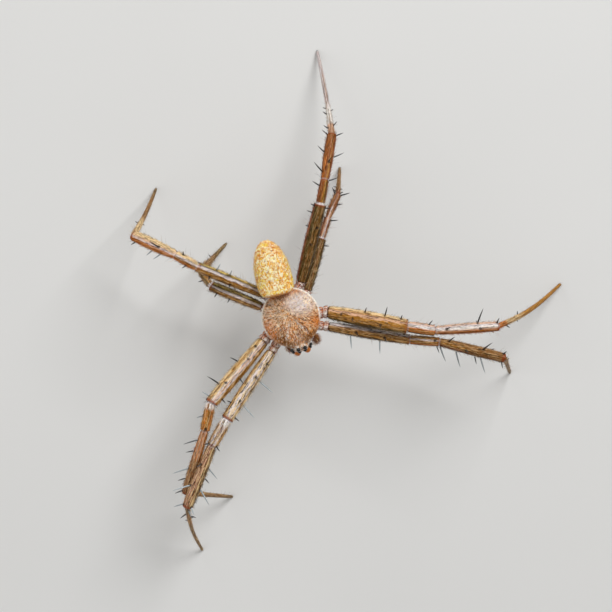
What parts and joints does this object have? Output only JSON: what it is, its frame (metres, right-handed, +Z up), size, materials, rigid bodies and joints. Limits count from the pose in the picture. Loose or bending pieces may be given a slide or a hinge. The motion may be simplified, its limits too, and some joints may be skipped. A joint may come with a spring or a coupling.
{
  "type": "orb weaver spider figure",
  "caption": "Slender orb-weaving spider with a round hairy carapace, a small egg-shaped abdomen and long spiny legs spread in an X, standing on the tips of its feet.",
  "frame": {"origin": "centre of the bounding box in plan, at the level of the feet", "axes": "+Z up from the ground, -Y the way the head points, +X towards the spider's left side"},
  "size_m": [0.0296, 0.0304, 0.0078],
  "materials": {
    "carapace": "brown-orange cuticle under short silvery hair",
    "abdomen": "yellow-orange skin with silvery flecks and fine wrinkles",
    "underside": "dark brown cuticle, pale at the joints",
    "jaw": "smooth orange-brown cuticle",
    "palp": "brown, hairy",
    "spinnerets": "tan, softly hairy",
    "eye": "black, glassy",
    "femur": "olive to tan brown with silvery lengthwise stripes and dark spots",
    "patella": "silver-white at the near end, orange-brown at the far end",
    "tibia": "reddish brown with paler lengthwise stripes",
    "foot": "whitish near the tibia, then clear orange-brown",
    "spine": "black horn, faintly blue where it catches light",
    "hair": "short silvery and brown bristles",
    "claw": "dark horn"
  },
  "bodies": {
    "root": {"abdomen": "abdomen", "carapace": "carapace", "chelicera_left": "jaw", "chelicera_right": "jaw", "eye_anterior_lateral_left": "eye", "eye_anterior_lateral_right": "eye", "eye_anterior_median_left": "eye", "eye_anterior_median_right": "eye", "eye_posterior_lateral_left": "eye", "eye_posterior_lateral_right": "eye", "eye_posterior_median_left": "eye", "eye_posterior_median_right": "eye", "leg1_left_coxa": "underside", "leg1_left_femur": "femur", "leg1_left_metatarsus_tarsus": "foot", "leg1_left_patella": "patella", "leg1_left_tibia": "tibia", "leg1_right_coxa": "underside", "leg1_right_femur": "femur", "leg1_right_metatarsus_tarsus": "foot", "leg1_right_patella": "patella", "leg1_right_tibia": "tibia", "leg2_left_coxa": "underside", "leg2_left_femur": "femur", "leg2_left_metatarsus_tarsus": "foot", "leg2_left_patella": "patella", "leg2_left_tibia": "tibia", "leg2_right_coxa": "underside", "leg2_right_femur": "femur", "leg2_right_metatarsus_tarsus": "foot", "leg2_right_patella": "patella", "leg2_right_tibia": "tibia", "leg3_left_coxa": "underside", "leg3_left_femur": "femur", "leg3_left_metatarsus_tarsus": "foot", "leg3_left_patella": "patella", "leg3_left_tibia": "tibia", "leg3_right_coxa": "underside", "leg3_right_femur": "femur", "leg3_right_metatarsus_tarsus": "foot", "leg3_right_patella": "patella", "leg3_right_tibia": "tibia", "leg4_left_coxa": "underside", "leg4_left_femur": "femur", "leg4_left_metatarsus_tarsus": "foot", "leg4_left_patella": "patella", "leg4_left_tibia": "tibia", "leg4_right_coxa": "underside", "leg4_right_femur": "femur", "leg4_right_metatarsus_tarsus": "foot", "leg4_right_patella": "patella", "leg4_right_tibia": "tibia", "mouthparts": "underside", "palp_left": "palp", "palp_right": "palp", "pedicel": "underside", "spinnerets": "spinnerets", "sternum": "underside"}
  },
  "joints": []
}
